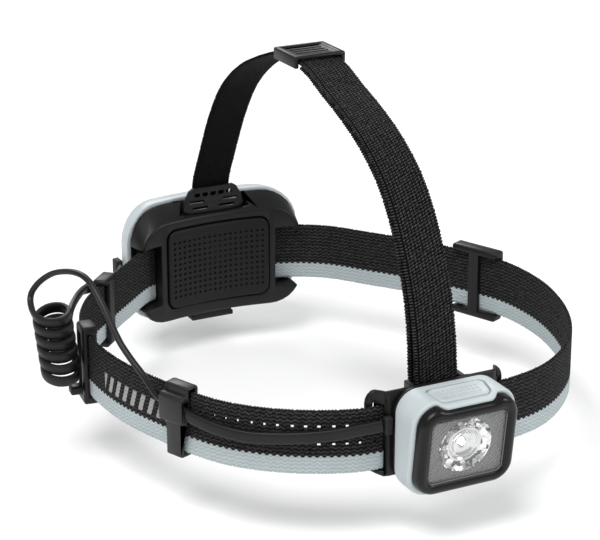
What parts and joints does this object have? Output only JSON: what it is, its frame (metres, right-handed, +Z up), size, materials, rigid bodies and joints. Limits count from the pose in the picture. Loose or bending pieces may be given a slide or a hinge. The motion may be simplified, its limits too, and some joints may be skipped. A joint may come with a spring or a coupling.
{
  "type": "headlamp",
  "caption": "Headlamp: a tilting square lamp on a bracket, a rear battery pack, an adjustable elastic headband and top strap, and a coiled cord between lamp and pack.",
  "frame": {"origin": "middle of the headband's loop, at the middle of the band's height", "axes": "+Z up, -Y the way the lamp faces, +X to the wearer's left"},
  "size_m": [0.2142, 0.2433, 0.1452],
  "materials": {
    "pale_shell": "satin moulded polycarbonate",
    "black_plastic": "moulded nylon, satin",
    "satin_black": "fine satin",
    "grey_plastic": "satin",
    "rubber": "matte",
    "webbing": "knitted elastic",
    "clear": "clear",
    "red_lens": "translucent red",
    "circuit": "laminate",
    "led": "phosphor",
    "steel": "plain",
    "aluminium": "plain",
    "cell_wrap": "shrink film"
  },
  "bodies": {
    "root": {"band_keeper_left": "black_plastic", "band_slider_left": "black_plastic", "battery_cell": "cell_wrap", "charge_board": "circuit", "cord_band_run": "rubber", "cord_coil": "rubber", "cord_free_run": "rubber", "cord_keeper": "black_plastic", "cord_return": "rubber", "front_bracket": "satin_black", "headband_front": "webbing", "headband_rear_left": "webbing", "headband_rear_right": "webbing", "hinge_pin": "steel", "lamp_cord_gland": "rubber", "pack_cord_gland": "rubber", "pack_gasket": "rubber", "pack_inner_shell": "black_plastic", "pack_pad": "rubber", "pack_rear_cover": "pale_shell", "pack_screw_1": "steel", "pack_screw_2": "steel", "pack_screw_3": "steel", "pack_screw_4": "steel", "tail_board": "circuit", "tail_led": "led", "tail_lens": "red_lens", "top_hook": "black_plastic", "top_strap_front": "webbing", "top_strap_rear": "webbing", "usb_socket": "steel"},
    "lamp": {"lamp_housing": "pale_shell", "lamp_bezel": "satin_black", "lamp_lens": "clear", "lens_gasket": "rubber", "main_optic": "clear", "led_board": "circuit", "heat_sink": "aluminium", "main_led": "led", "lamp_back_cover": "black_plastic", "lamp_screw_1": "steel", "lamp_screw_2": "steel", "lamp_screw_3": "steel", "lamp_screw_4": "steel", "button_switch": "circuit"},
    "mode_button": {"mode_button": "pale_shell"},
    "port_cover": {"port_cover": "rubber"},
    "top_slider": {"top_slider": "black_plastic"},
    "band_slider_right": {"band_slider_right": "black_plastic"},
    "cable_clip": {"cable_clip": "grey_plastic"}
  },
  "joints": [
    {"name": "lamp_tilt", "type": "hinge", "parent": "root", "child": "lamp", "pos_m": [0, -0.1142, -0.0163], "axis": [1, 0, 0], "range_deg": [0, 50]},
    {"name": "mode_button_press", "type": "slide", "parent": "lamp", "child": "mode_button", "axis": [0, 0, -1], "range_m": [0, 0.0008], "stiffness_N_per_m": 800},
    {"name": "port_cover_hinge", "type": "hinge", "parent": "root", "child": "port_cover", "pos_m": [0, 0.1014, -0.026], "axis": [1, 0, 0], "range_deg": [0, 100]},
    {"name": "top_slider_slide", "type": "hinge", "parent": "root", "child": "top_slider", "pos_m": [0, -0.0075, 0.0549], "axis": [1, 0, 0], "range_deg": [-6, 6]},
    {"name": "band_slider_slide", "type": "slide", "parent": "root", "child": "band_slider_right", "axis": [-0.3903, 0.9207, 0], "range_m": [-0.003, 0.003]},
    {"name": "cable_clip_slide", "type": "slide", "parent": "root", "child": "cable_clip", "axis": [-0.37, 0.929, 0], "range_m": [-0.004, 0]}
  ]
}
